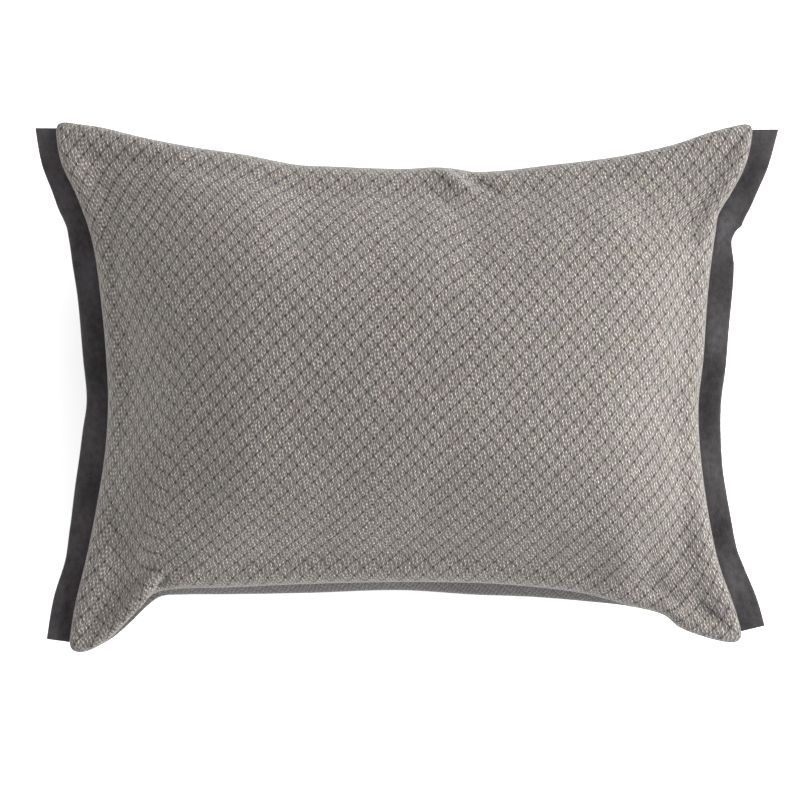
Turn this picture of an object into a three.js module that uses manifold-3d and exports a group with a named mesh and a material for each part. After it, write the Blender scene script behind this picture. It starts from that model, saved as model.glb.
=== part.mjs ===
// A lumbar throw pillow lying on its back panel. Two woven panels, two suede flanges along the
// short sides, a concealed zip in the bottom seam, and a stuffed insert inside the cover.
//
// Millimetres. X runs across the pillow, Y from its bottom edge to its top edge, and Z up out of
// the front panel. The origin is on the floor under the middle of the pillow.
import * as THREE from "three";
import { mergeVertices } from "three/addons/utils/BufferGeometryUtils.js";
import Module from "manifold-3d";

const wasm = await Module();
wasm.setup();

// ---- Driving dimensions ----------------------------------------------------------------------

const THICKNESS = 146; // floor to the crown of the front panel
const SEAM_HEIGHT = 68; // floor to the plane of the seams
const BACK_CROWN = 76; // how far the back panel would bulge if no floor pressed it flat
const EDGE_ROLL = 5; // radius of the cloth where it turns into the seam
const SEAM_HALF_GAP = 1.25; // seam plane to the turned edge of each panel
const FULLNESS_SPREAD = 2.1; // how far the fullness of the stuffing reaches towards the edges
const FULLNESS_POWER = 0.62; // how steeply the panels rise from the edges

const FACE_CLOTH = 1.2; // thickness of the woven face cloth
const TICKING = 0.6; // thickness of the insert's cloth
const LAYER_GAP = 1.0; // room between two soft layers
const INSERT_SCALE = [0.92, 0.87]; // the insert's plan as a share of the cover's
const INSERT_ROLL = 3; // edge radius of the insert
const INSERT_HALF_GAP = 0.9; // seam plane to each half of the insert

const FLANGE_WIDTH = 19; // what shows of a flange outside the cover
const FLANGE_THICKNESS = 1.8; // two layers of suede
const FLANGE_TUCK = 1.6; // how far the flange reaches in behind the turned edges
const FLANGE_END = 0.022; // share of the side that the flange leaves free at each corner
const THREAD_RADIUS = 0.5;
const THREAD_CLEARANCE = 0.35;

const ZIP_EDGE_Y = -135; // outer edge of the cover along the zip
const ZIP_LEFT = -160; // ends of the straight stretch of seam that holds the zip
const ZIP_RIGHT = 66;
const SLIDER_REST_X = -138; // the slider's place with the zip closed
const SLIDER_TRAVEL = 192; // how far it runs to open the zip

// The cover's plan. It is a little wider at the top than at the bottom, and each side pulls in
// between its corners. A side is listed from its first corner to its second.
const TOP_LEFT = [-233, 177.5];
const TOP_RIGHT = [233.8, 176];
const BOTTOM_LEFT = [-226, -177.5];
const BOTTOM_RIGHT = [227, -172];
const TOP_SIDE = [[-178, 168], [-100, 154.5], [-2, 146], [90, 148.5], [178, 164]];
const LEFT_SIDE = [[-219, -136], [-207, -75], [-199.5, -8], [-204, 52], [-215, 110]];
const RIGHT_SIDE = [[217, -134], [203, -80], [196, -12], [201, 50], [212, 112]];
const TO_ZIP = [[-205, -166], [-185, ZIP_EDGE_Y]]; // Bezier handles from the bottom left corner
const FROM_ZIP = [[126, ZIP_EDGE_Y], [178, -163]]; // and on to the bottom right one

// Fineness: cells across and up each layer, facets round each curve, and steps along each strip.
const COVER_CELLS = [22, 16];
const INSERT_CELLS = [16, 12];
const ROLL_STEPS = 3;
const FLANGE_STEPS = 24;
const THREAD_SIDES = 6;
const COIL_SIDES = 8;
const ROUND_SIDES = 16;
const TAB_END_SIDES = 8;

// ---- Materials -------------------------------------------------------------------------------

const WOVEN = { color: 0x8c8681, roughness: 0.95, metalness: 0 };
const SUEDE = { color: 0x403d40, roughness: 0.9, metalness: 0 };
const THREAD = { color: 0x7d7874, roughness: 0.8, metalness: 0 };
const TAPE = { color: 0x6f6b69, roughness: 0.9, metalness: 0 };
const NYLON = { color: 0x77726f, roughness: 0.45, metalness: 0 };
const ZIP_METAL = { color: 0x8f8d8a, roughness: 0.35, metalness: 0.9 };
const INSERT_CLOTH = { color: 0xe9e6df, roughness: 0.9, metalness: 0 };
const FIBRE = { color: 0xf4f3ef, roughness: 1, metalness: 0 };

const pillow = new THREE.Group();

function addPart(name, geometry, finish) {
  const mesh = new THREE.Mesh(geometry, new THREE.MeshStandardMaterial(finish));
  mesh.name = name;
  pillow.add(mesh);
}

// ---- Solids ----------------------------------------------------------------------------------

function solidFromTriangles(positions, triangles) {
  return new wasm.Manifold(new wasm.Mesh({
    numProp: 3,
    vertProperties: new Float32Array(positions),
    triVerts: new Uint32Array(triangles),
  }));
}

function solidFromGeometry(geometry) {
  const bare = geometry.clone();
  bare.deleteAttribute("normal");
  bare.deleteAttribute("uv");
  const merged = mergeVertices(bare, 1e-4);
  return solidFromTriangles(merged.attributes.position.array, merged.index.array);
}

function geometryFromSolid(solid) {
  const mesh = solid.getMesh();
  const geometry = new THREE.BufferGeometry();
  geometry.setAttribute("position", new THREE.BufferAttribute(mesh.vertProperties, 3));
  geometry.setIndex(new THREE.BufferAttribute(mesh.triVerts, 1));
  geometry.computeVertexNormals();
  return geometry;
}

// A box given by its lowest and highest corners.
function boxBetween(low, high) {
  const size = high.map((value, axis) => value - low[axis]);
  const geometry = new THREE.BoxGeometry(...size);
  return geometry.translate(...low.map((value, axis) => value + size[axis] / 2));
}

// ---- Plan ------------------------------------------------------------------------------------

// The four sides of the pillow's outline, scaled about its middle. The bottom side is curved from
// each corner, and straight where the zip is.
function sidesOf([scaleX, scaleY]) {
  const at = ([x, y]) => new THREE.Vector3(x * scaleX, y * scaleY, 0);
  const through = (...points) => (
    new THREE.CatmullRomCurve3(points.map(at), false, "centripetal")
  );
  const bend = (...points) => new THREE.CubicBezierCurve3(...points.map(at));
  const zipStart = [ZIP_LEFT, ZIP_EDGE_Y];
  const zipEnd = [ZIP_RIGHT, ZIP_EDGE_Y];
  const bottom = new THREE.CurvePath();
  bottom.add(bend(BOTTOM_LEFT, ...TO_ZIP, zipStart));
  bottom.add(new THREE.LineCurve3(at(zipStart), at(zipEnd)));
  bottom.add(bend(zipEnd, ...FROM_ZIP, BOTTOM_RIGHT));
  return {
    top: through(TOP_LEFT, ...TOP_SIDE, TOP_RIGHT),
    bottom,
    left: through(BOTTOM_LEFT, ...LEFT_SIDE, TOP_LEFT),
    right: through(BOTTOM_RIGHT, ...RIGHT_SIDE, TOP_RIGHT),
  };
}

// The pillow lies to the right of the top and left sides as they are listed, and to the left of
// the other two.
const INWARD_TURN = { top: -1, bottom: 1, left: -1, right: 1 };

// A place on a side, moved into the pillow by a distance (or out of it by a negative one).
function besideSide(sides, side, along, inset, z) {
  const at = sides[side].getPointAt(along);
  const way = sides[side].getTangentAt(along);
  const turn = INWARD_TURN[side];
  return new THREE.Vector3(at.x - turn * way.y * inset, at.y + turn * way.x * inset, z);
}

// An outline, with how far its corners move along each side when it is inset by one: the
// cotangent of half the angle between the two sides that meet there.
function planOf(scale) {
  const sides = sidesOf(scale);
  const wayOut = (side, end) => sides[side].getTangentAt(end).multiplyScalar(end === 0 ? 1 : -1);
  const lean = (sideA, endA, sideB, endB) => {
    const cosine = wayOut(sideA, endA).dot(wayOut(sideB, endB));
    return Math.sqrt((1 + cosine) / (1 - cosine));
  };
  const topLeft = lean("top", 0, "left", 1);
  const topRight = lean("top", 1, "right", 1);
  const bottomLeft = lean("bottom", 0, "left", 0);
  const bottomRight = lean("bottom", 1, "right", 0);
  const leans = {
    top: [topLeft, topRight],
    bottom: [bottomLeft, bottomRight],
    left: [bottomLeft, topLeft],
    right: [bottomRight, topRight],
  };
  return { sides, leans };
}

// A place on the edge of an inset plan: straight in from its side, and along the side as far as
// the two mitred corners need.
function insetPlace({ sides, leans }, side, along, inset) {
  const [first, second] = leans[side];
  const slide = inset * (first * (1 - along) - second * along);
  const way = sides[side].getTangentAt(along);
  return besideSide(sides, side, along, inset, 0).addScaledVector(way, slide);
}

// Steps from 0 to 1 that crowd towards both ends, where the cloth turns fastest.
function easedSteps(cells) {
  return Array.from({ length: cells + 1 }, (_, i) => (1 - Math.cos((Math.PI * i) / cells)) / 2);
}

function evenSteps(from, to, count) {
  return Array.from({ length: count + 1 }, (_, i) => from + ((to - from) * i) / count);
}

// A grid of plan points that fills an inset outline, spanned between opposite sides.
function planGrid(plan, [across, up], inset) {
  const us = easedSteps(across);
  const vs = easedSteps(up);
  const top = us.map((u) => insetPlace(plan, "top", u, inset));
  const bottom = us.map((u) => insetPlace(plan, "bottom", u, inset));
  const left = vs.map((v) => insetPlace(plan, "left", v, inset));
  const right = vs.map((v) => insetPlace(plan, "right", v, inset));
  const cornerBlend = (u, v) => new THREE.Vector3()
    .addScaledVector(bottom[0], (1 - u) * (1 - v))
    .addScaledVector(bottom[across], u * (1 - v))
    .addScaledVector(top[0], (1 - u) * v)
    .addScaledVector(top[across], u * v);
  return vs.map((v, j) => us.map((u, i) => new THREE.Vector3()
    .addScaledVector(bottom[i], 1 - v)
    .addScaledVector(top[i], v)
    .addScaledVector(left[j], 1 - u)
    .addScaledVector(right[j], u)
    .sub(cornerBlend(u, v))));
}

// The outer points of a grid, anticlockwise from the bottom left corner: the row and column of
// each, and the side that it lies on with its place there.
function rimStations([across, up]) {
  const us = easedSteps(across);
  const vs = easedSteps(up);
  const stations = [];
  for (let i = 0; i < across; i += 1) stations.push({ j: 0, i, side: "bottom", along: us[i] });
  for (let j = 0; j < up; j += 1) stations.push({ j, i: across, side: "right", along: vs[j] });
  for (let i = across; i > 0; i -= 1) stations.push({ j: up, i, side: "top", along: us[i] });
  for (let j = up; j > 0; j -= 1) stations.push({ j, i: 0, side: "left", along: vs[j] });
  return stations;
}

const insetLoop = (plan, stations, inset) => (
  stations.map(({ side, along }) => insetPlace(plan, side, along, inset))
);

const COVER_PLAN = planOf([1, 1]);
const INSERT_PLAN = planOf(INSERT_SCALE);

// How full the stuffing is at a place, from 0 at the edges of the pillow to 1 in its middle.
function fullness(u, v) {
  const across = 1 - Math.abs(2 * u - 1) ** FULLNESS_SPREAD;
  const up = 1 - Math.abs(2 * v - 1) ** FULLNESS_SPREAD;
  return (across * up) ** FULLNESS_POWER;
}

// The height of the upper quarter of an edge roll at a place, level once it is past the roll.
function rollRise(u, v, roll) {
  const fromSide = Math.min(u, 1 - u) * (TOP_RIGHT[0] - TOP_LEFT[0]);
  const fromEnd = Math.min(v, 1 - v) * (TOP_SIDE[2][1] - ZIP_EDGE_Y);
  const left = Math.max(roll - Math.min(fromSide, fromEnd), 0);
  return Math.sqrt(roll ** 2 - left ** 2);
}

// One half of a pillow as a closed solid, above the seam plane (facing 1) or below it (facing
// -1): a crowned sheet, its rolled edge, and a neck that ends in a flat mouth. Heights are
// measured from the seam plane; flatAt is where a floor presses the crown flat.
function halfPillow(shape) {
  const { plan, cells, facing, crown, flatAt, halfGap, roll, inset, neckInset, mouth } = shape;
  const [across, up] = cells;
  const grid = planGrid(plan, cells, inset);
  const us = easedSteps(across);
  const vs = easedSteps(up);
  const rim = rimStations(cells);

  const positions = [];
  const triangles = [];
  const addPoint = (x, y, above) => {
    positions.push(x, y, SEAM_HEIGHT + facing * Math.min(above, flatAt));
    return positions.length / 3 - 1;
  };
  const addFace = (a, b, c) => triangles.push(...(facing > 0 ? [a, b, c] : [a, c, b]));

  const rollCentre = halfGap + roll;
  const bulge = crown - rollCentre - roll;
  const sheet = grid.map((row, j) => row.map((point, i) => {
    const rise = rollRise(us[i], vs[j], roll) + bulge * fullness(us[i], vs[j]);
    return addPoint(point.x, point.y, rollCentre + rise);
  }));
  for (let j = 0; j < up; j += 1) {
    for (let i = 0; i < across; i += 1) {
      addFace(sheet[j][i], sheet[j][i + 1], sheet[j + 1][i + 1]);
      addFace(sheet[j][i], sheet[j + 1][i + 1], sheet[j + 1][i]);
    }
  }

  let ring = rim.map(({ j, i }) => sheet[j][i]);
  const addRing = (ringInset, above) => {
    const lower = insetLoop(plan, rim, ringInset).map((p) => addPoint(p.x, p.y, above));
    lower.forEach((below, k) => {
      const next = (k + 1) % lower.length;
      addFace(ring[k], below, lower[next]);
      addFace(ring[k], lower[next], ring[next]);
    });
    ring = lower;
  };
  for (let step = 1; step <= ROLL_STEPS; step += 1) {
    const angle = ((Math.PI / 2) * step) / ROLL_STEPS;
    addRing(inset + roll * (1 - Math.cos(angle)), rollCentre - roll * Math.sin(angle));
  }
  if (mouth < halfGap) addRing(neckInset, mouth);
  const middle = addPoint(0, 0, Math.min(mouth, halfGap));
  ring.forEach((point, k) => addFace(middle, ring[(k + 1) % ring.length], point));
  return solidFromTriangles(positions, triangles);
}

const MOUTH_LIP = 0.3; // how far the space inside a sewn half reaches past its turned edge

// A sewn half of cloth: the space inside it cut out of the half-pillow that it makes, open at the
// mouth.
function clothHalf(shape, thickness) {
  const inside = {
    ...shape,
    crown: shape.crown - thickness,
    flatAt: shape.flatAt - thickness,
    halfGap: shape.halfGap + thickness,
    roll: shape.roll - thickness,
    inset: shape.inset + thickness,
    neckInset: shape.inset + shape.roll + MOUTH_LIP,
    mouth: shape.halfGap - MOUTH_LIP,
  };
  const outside = { ...shape, mouth: shape.halfGap };
  return halfPillow(outside).subtract(halfPillow(inside));
}

// ---- Cover -----------------------------------------------------------------------------------

const FRONT = { facing: 1, crown: THICKNESS - SEAM_HEIGHT, flatAt: Infinity };
const BACK = { facing: -1, crown: BACK_CROWN, flatAt: SEAM_HEIGHT };

function coverPanel(half) {
  const shape = {
    ...half,
    plan: COVER_PLAN,
    cells: COVER_CELLS,
    halfGap: SEAM_HALF_GAP,
    roll: EDGE_ROLL,
    inset: 0,
  };
  return geometryFromSolid(clothHalf(shape, FACE_CLOTH));
}

const onCover = (side, along, inset, z) => besideSide(COVER_PLAN.sides, side, along, inset, z);

// A flange: a flat strip that follows its side, from just behind the turned edges of the panels
// to its own folded edge outside.
function flange(side) {
  const stations = evenSteps(FLANGE_END, 1 - FLANGE_END, FLANGE_STEPS);
  const inner = EDGE_ROLL + FLANGE_TUCK;
  const outline = [
    ...stations.map((along) => onCover(side, along, inner, 0)),
    ...stations.toReversed().map((along) => onCover(side, along, -FLANGE_WIDTH, 0)),
  ];
  const strip = new THREE.ExtrudeGeometry(new THREE.Shape(outline), {
    depth: FLANGE_THICKNESS,
    bevelEnabled: false,
  });
  return strip.translate(0, 0, SEAM_HEIGHT - FLANGE_THICKNESS / 2);
}

// A row of stitches, as a thread that runs beside a stretch of a side.
function seamThread({ side, from, to, inset, steps }) {
  const points = evenSteps(from, to, steps).map((along) => onCover(side, along, inset, SEAM_HEIGHT));
  const section = new THREE.Shape(
    evenSteps(0, 1, THREAD_SIDES).slice(1).map((turn) => new THREE.Vector2(
      THREAD_RADIUS * Math.cos(2 * Math.PI * turn),
      THREAD_RADIUS * Math.sin(2 * Math.PI * turn),
    )),
  );
  return new THREE.ExtrudeGeometry(section, {
    steps,
    bevelEnabled: false,
    extrudePath: new THREE.CatmullRomCurve3(points),
  });
}

// The rows, each over the share of its side that it covers. The bottom row stops at the zip.
const OPEN_INSET = EDGE_ROLL + THREAD_RADIUS + THREAD_CLEARANCE;
const FLANGED_INSET = OPEN_INSET + FLANGE_TUCK;
const SEAM_THREADS = {
  top_seam_thread: { side: "top", from: 0.045, to: 0.955, inset: OPEN_INSET, steps: 24 },
  left_seam_thread: { side: "left", from: 0.045, to: 0.955, inset: FLANGED_INSET, steps: 20 },
  right_seam_thread: { side: "right", from: 0.045, to: 0.955, inset: FLANGED_INSET, steps: 20 },
  bottom_seam_thread_left: { side: "bottom", from: 0.05, to: 0.16, inset: OPEN_INSET, steps: 8 },
  bottom_seam_thread_right: { side: "bottom", from: 0.67, to: 0.95, inset: OPEN_INSET, steps: 12 },
};

// ---- Zip -------------------------------------------------------------------------------------

const SEAM_FLOOR_Y = ZIP_EDGE_Y + EDGE_ROLL; // where the turned edges of the panels end
const ZIP_CLEARANCE = 0.35;
const TAPE_THICKNESS = 0.6;
const TAPE_Y = SEAM_FLOOR_Y + ZIP_CLEARANCE + TAPE_THICKNESS / 2;
const TAPE_FROM_SEAM = 1.3; // seam plane to the near edge of a tape
const TAPE_WIDTH = 11;
const TAPE_PAST_STOP = 10;

const COIL_RADIUS = 0.9;
const COIL_FROM_SEAM = 1.7; // seam plane to the middle of a coil, which leaves room for the neck
const COIL_Y = TAPE_Y + TAPE_THICKNESS / 2 + ZIP_CLEARANCE + COIL_RADIUS;

const SLIDER_LENGTH = 9;
const SLIDER_WALL = 1.2;
const NECK_THICKNESS = 1;
const NECK_LENGTH = 2.6;
const CHEEK_INNER = COIL_FROM_SEAM + COIL_RADIUS + ZIP_CLEARANCE;
const CHEEK_OUTER = CHEEK_INNER + SLIDER_WALL;
const PLATE_Y = COIL_Y + COIL_RADIUS + ZIP_CLEARANCE; // the slider's plate lies behind the coils

const RING_OUTER = 1.6; // the loop on the slider that the pull hangs from
const RING_HOLE = 0.9;
const PIVOT_Y = ZIP_EDGE_Y + RING_OUTER;
const BAR_RADIUS = 0.5;

const TAB_LENGTH = 18;
const TAB_HALF_WIDTH = 1.7;
const TAB_THICKNESS = 1.2;
const PRONG_INNER = NECK_THICKNESS / 2 + ZIP_CLEARANCE;
const PRONG_OUTER = 1.4;
const TAB_START = RING_OUTER + ZIP_CLEARANCE;

const STOP_LENGTH = 2.4;
const COIL_START = SLIDER_REST_X - SLIDER_LENGTH / 2 - ZIP_CLEARANCE;
const COIL_END = SLIDER_REST_X + SLIDER_TRAVEL + SLIDER_LENGTH / 2 + ZIP_CLEARANCE;

const aboveSeam = (distance) => SEAM_HEIGHT + distance;

// A box on one side of the seam plane (facing 1 above it, -1 below).
function boxBesideSeam(facing, [xLow, yLow, near], [xHigh, yHigh, far]) {
  const [low, high] = [facing * near, facing * far].sort((a, b) => a - b);
  return boxBetween([xLow, yLow, aboveSeam(low)], [xHigh, yHigh, aboveSeam(high)]);
}

function zipTape(facing) {
  return boxBesideSeam(
    facing,
    [COIL_START - TAPE_PAST_STOP, TAPE_Y - TAPE_THICKNESS / 2, TAPE_FROM_SEAM],
    [COIL_END + TAPE_PAST_STOP, TAPE_Y + TAPE_THICKNESS / 2, TAPE_FROM_SEAM + TAPE_WIDTH],
  );
}

function zipCoil(facing) {
  const length = COIL_END - COIL_START;
  const coil = new THREE.CylinderGeometry(COIL_RADIUS, COIL_RADIUS, length, COIL_SIDES);
  coil.rotateZ(Math.PI / 2);
  return coil.translate(COIL_START + length / 2, COIL_Y, aboveSeam(facing * COIL_FROM_SEAM));
}

// The stops stand as far from the seam plane as the slider's cheeks, and so catch them.
const STOP_LOW_Y = COIL_Y - COIL_RADIUS;
const STOP_HIGH_Y = PLATE_Y + SLIDER_WALL / 2;

function topStop(facing) {
  const end = COIL_START - ZIP_CLEARANCE;
  return boxBesideSeam(
    facing,
    [end - STOP_LENGTH, STOP_LOW_Y, NECK_THICKNESS / 2 + ZIP_CLEARANCE],
    [end, STOP_HIGH_Y, CHEEK_OUTER],
  );
}

function bottomStop() {
  const start = COIL_END + ZIP_CLEARANCE;
  return boxBetween(
    [start, STOP_LOW_Y, aboveSeam(-CHEEK_OUTER)],
    [start + STOP_LENGTH, STOP_HIGH_Y, aboveSeam(CHEEK_OUTER)],
  );
}

// A round bar or disc that stands along Z through the pivot of the pull.
function roundAtPivot(radius, halfHeight) {
  const round = new THREE.CylinderGeometry(radius, radius, 2 * halfHeight, ROUND_SIDES);
  round.rotateX(Math.PI / 2);
  return solidFromGeometry(round.translate(SLIDER_REST_X, PIVOT_Y, SEAM_HEIGHT));
}

// The slider: a plate and two cheeks round the coils, and a thin neck that comes out between the
// panels to a loop for the pull.
function zipSlider() {
  const halfLength = SLIDER_LENGTH / 2;
  const halfNeck = NECK_LENGTH / 2;
  const span = (half, yLow, yHigh, zLow, zHigh) => solidFromGeometry(boxBetween(
    [SLIDER_REST_X - half, yLow, aboveSeam(zLow)],
    [SLIDER_REST_X + half, yHigh, aboveSeam(zHigh)],
  ));
  const cheekY = COIL_Y - COIL_RADIUS;
  const plateEnd = PLATE_Y + SLIDER_WALL;
  const neck = NECK_THICKNESS / 2;
  return geometryFromSolid(
    span(halfLength, PLATE_Y, plateEnd, -CHEEK_OUTER, CHEEK_OUTER)
      .add(span(halfLength, cheekY, plateEnd, CHEEK_INNER, CHEEK_OUTER))
      .add(span(halfLength, cheekY, plateEnd, -CHEEK_OUTER, -CHEEK_INNER))
      .add(span(halfNeck, PIVOT_Y, PLATE_Y + SLIDER_WALL / 2, -neck, neck))
      .add(roundAtPivot(RING_OUTER, neck))
      .subtract(roundAtPivot(RING_HOLE, 2 * neck)),
  );
}

// The pull: a bar through the slider's loop, two prongs beside the loop, and a tongue with a
// rounded end that lies along the seam.
function zipPullTab() {
  const tongueEnd = TAB_LENGTH - TAB_HALF_WIDTH;
  const tongue = new THREE.Shape();
  tongue.moveTo(TAB_START, -TAB_HALF_WIDTH);
  tongue.lineTo(tongueEnd, -TAB_HALF_WIDTH);
  tongue.absarc(tongueEnd, 0, TAB_HALF_WIDTH, -Math.PI / 2, Math.PI / 2);
  tongue.lineTo(TAB_START, TAB_HALF_WIDTH);
  const plate = new THREE.ExtrudeGeometry(tongue, {
    depth: TAB_THICKNESS,
    bevelEnabled: false,
    curveSegments: TAB_END_SIDES,
  });
  plate.translate(0, 0, -TAB_THICKNESS / 2).rotateX(Math.PI / 2);
  plate.translate(SLIDER_REST_X, PIVOT_Y, SEAM_HEIGHT);

  const prong = (facing) => solidFromGeometry(boxBesideSeam(
    facing,
    [SLIDER_REST_X - BAR_RADIUS, PIVOT_Y - TAB_THICKNESS / 2, PRONG_INNER],
    [SLIDER_REST_X + TAB_START + TAB_THICKNESS, PIVOT_Y + TAB_THICKNESS / 2, PRONG_OUTER],
  ));
  return geometryFromSolid(
    solidFromGeometry(plate)
      .add(prong(1))
      .add(prong(-1))
      .add(roundAtPivot(BAR_RADIUS, PRONG_OUTER)),
  );
}

// ---- Insert ----------------------------------------------------------------------------------

// The shape of one half of the insert, a layer below the half of the cover that holds it.
function insertShape(half) {
  return {
    ...half,
    plan: INSERT_PLAN,
    cells: INSERT_CELLS,
    crown: half.crown - FACE_CLOTH - LAYER_GAP,
    flatAt: half.flatAt - FACE_CLOTH - LAYER_GAP,
    halfGap: INSERT_HALF_GAP,
    roll: INSERT_ROLL,
    inset: 0,
  };
}

const FILL_NECK = 2.5; // ticking's turned edge to the neck that joins the halves of the stuffing

// One half of the stuffing, a layer below its ticking, with a neck across the seam plane that
// joins it to the other half.
function fillHalf(half) {
  const cloth = insertShape(half);
  const step = TICKING + LAYER_GAP;
  return halfPillow({
    ...cloth,
    crown: cloth.crown - step,
    flatAt: cloth.flatAt - step,
    halfGap: cloth.halfGap + step,
    roll: cloth.roll - step,
    inset: cloth.inset + step,
    neckInset: cloth.roll + FILL_NECK,
    mouth: -cloth.halfGap,
  });
}

// The insert's own seam: a thread that closes on itself between the turned edges of its halves.
function insertThread() {
  const rim = rimStations(INSERT_CELLS);
  const loopAt = (inset) => insetLoop(INSERT_PLAN, rim, inset);
  const section = new THREE.Shape(loopAt(INSERT_ROLL - THREAD_RADIUS / 2));
  section.holes.push(new THREE.Path(loopAt(INSERT_ROLL + THREAD_RADIUS / 2)));
  const ring = new THREE.ExtrudeGeometry(section, { depth: THREAD_RADIUS, bevelEnabled: false });
  return ring.translate(0, 0, SEAM_HEIGHT - THREAD_RADIUS / 2);
}

// ---- Assembly --------------------------------------------------------------------------------

addPart("front_panel", coverPanel(FRONT), WOVEN);
addPart("back_panel", coverPanel(BACK), WOVEN);
addPart("left_flange", flange("left"), SUEDE);
addPart("right_flange", flange("right"), SUEDE);

Object.entries(SEAM_THREADS).forEach(([name, row]) => addPart(name, seamThread(row), THREAD));

addPart("zip_tape_front", zipTape(1), TAPE);
addPart("zip_tape_back", zipTape(-1), TAPE);
addPart("zip_coil_front", zipCoil(1), NYLON);
addPart("zip_coil_back", zipCoil(-1), NYLON);
addPart("zip_top_stop_front", topStop(1), ZIP_METAL);
addPart("zip_top_stop_back", topStop(-1), ZIP_METAL);
addPart("zip_bottom_stop", bottomStop(), ZIP_METAL);
addPart("zip_slider", zipSlider(), ZIP_METAL);
addPart("zip_pull_tab", zipPullTab(), ZIP_METAL);

const ticking = (half) => geometryFromSolid(clothHalf(insertShape(half), TICKING));
addPart("insert_front_ticking", ticking(FRONT), INSERT_CLOTH);
addPart("insert_back_ticking", ticking(BACK), INSERT_CLOTH);
addPart("insert_seam_thread", insertThread(), THREAD);
addPart("insert_fill", geometryFromSolid(fillHalf(FRONT).add(fillHalf(BACK))), FIBRE);

export default pillow;
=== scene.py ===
"""A lumbar throw pillow lying on its back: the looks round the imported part, in metres.

The cover's two woven panels are inflated by a cloth simulation and creased where the real cover
creases. The suede flanges, stitches, zip and stuffed insert follow the seams of the cover.
"""

import math

import bpy
import numpy as np
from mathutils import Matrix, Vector, noise


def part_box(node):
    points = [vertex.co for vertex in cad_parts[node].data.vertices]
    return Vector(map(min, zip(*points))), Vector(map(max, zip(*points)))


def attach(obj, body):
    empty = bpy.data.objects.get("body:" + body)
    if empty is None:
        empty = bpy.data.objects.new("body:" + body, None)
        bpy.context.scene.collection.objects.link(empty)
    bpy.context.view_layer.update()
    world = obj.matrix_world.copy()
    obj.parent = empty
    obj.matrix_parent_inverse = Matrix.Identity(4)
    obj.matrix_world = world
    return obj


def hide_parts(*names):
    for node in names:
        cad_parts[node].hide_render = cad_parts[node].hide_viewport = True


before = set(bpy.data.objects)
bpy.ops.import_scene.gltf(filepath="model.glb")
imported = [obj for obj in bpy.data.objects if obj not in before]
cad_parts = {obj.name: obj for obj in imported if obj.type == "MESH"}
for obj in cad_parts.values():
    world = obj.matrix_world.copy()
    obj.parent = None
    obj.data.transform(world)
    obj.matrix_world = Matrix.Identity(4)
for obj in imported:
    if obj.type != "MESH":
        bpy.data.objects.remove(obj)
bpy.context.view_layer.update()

MM = 0.001

# ---- Places from the frame -------------------------------------------------------------------

FLANGE_LOW, FLANGE_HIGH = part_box("left_flange")
SEAM_Z = (FLANGE_LOW.z + FLANGE_HIGH.z) / 2
PANEL_LOW, PANEL_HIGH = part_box("front_panel")
CROWN = PANEL_HIGH.z - SEAM_Z
FLOOR_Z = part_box("back_panel")[0].z

# ---- The cover's plan, in millimetres --------------------------------------------------------

# The sides of the front panel as it lies, each from its first corner to its second.
TOP_SIDE = [(-236, 179), (-226, 177), (-205, 174), (-178, 167.5), (-145, 161), (-105, 155),
            (-86, 151), (-70, 148.4), (-50, 147.6), (-2, 146), (20, 147), (34, 146), (46, 143.9),
            (57, 144.3), (71, 145.4), (90, 147.8), (140, 154), (178, 162), (206, 171.2),
            (234, 178)]
LEFT_SIDE = [(-227, -179), (-222, -147), (-214.4, -115), (-207.4, -80), (-201.6, -42),
             (-199.8, -9), (-201, 18), (-204.6, 58), (-210.6, 98), (-220.6, 127), (-231.5, 151),
             (-236, 179)]
RIGHT_SIDE = [(227, -172.5), (221, -150), (210, -119), (204, -92), (197.6, -46), (196.2, -12),
              (199.4, 18), (202.8, 66), (207.4, 102), (209.6, 115), (217.8, 129), (228, 149),
              (234, 178)]
BOTTOM_SIDE = [(-227, -179), (-215, -178), (-199, -169.4), (-186.5, -156.8), (-177.5, -147),
               (-169, -139), (-156, -136), (-120, -134.8), (-75, -132.8), (-35, -131.6),
               (15, -131.2), (60, -132.4), (100, -136), (120, -139), (136, -143), (152, -147.6),
               (174, -153.4), (184, -161.8), (200, -168), (214, -171.4), (227, -172.5)]
# The back panel's bottom side shows past the front one's.
BACK_BOTTOM_SIDE = [(-227, -179), (-215, -178), (-199, -170.2), (-185, -158.4), (-175, -148.4),
                    (-166, -142), (-150, -141), (-120, -140.8), (-64, -139.8), (-4, -138),
                    (46, -141), (87, -142.6), (127, -146), (150, -148.4), (174, -154.2),
                    (184, -162.2), (200, -168.4), (214, -171.6), (227, -172.5)]
MOST_PAST = 9  # about how far past the front panel the back one reaches at most
BACK_DROP = 14  # and how much lower it turns into the seam there

ROLL = 3.6  # radius of the cloth where it turns into a seam
FLANGE_HALF_GAP = 1.25  # seam plane to the turned edge of a panel beside a flange
OPEN_HALF_GAP = 0.65  # and where panel meets panel
FACE_CLOTH = 1.2
FLAT_SIZE = (470, 360)  # a panel as cut, from seam to seam
CORNER_SOFTNESS = 8  # how far from a corner the outline is rounded
LONG_SIDE_POINTS, SHORT_SIDE_POINTS = 600, 500  # fineness of a side's curve
CURVE_FINENESS = 60  # samples for each given point of a curve


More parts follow.
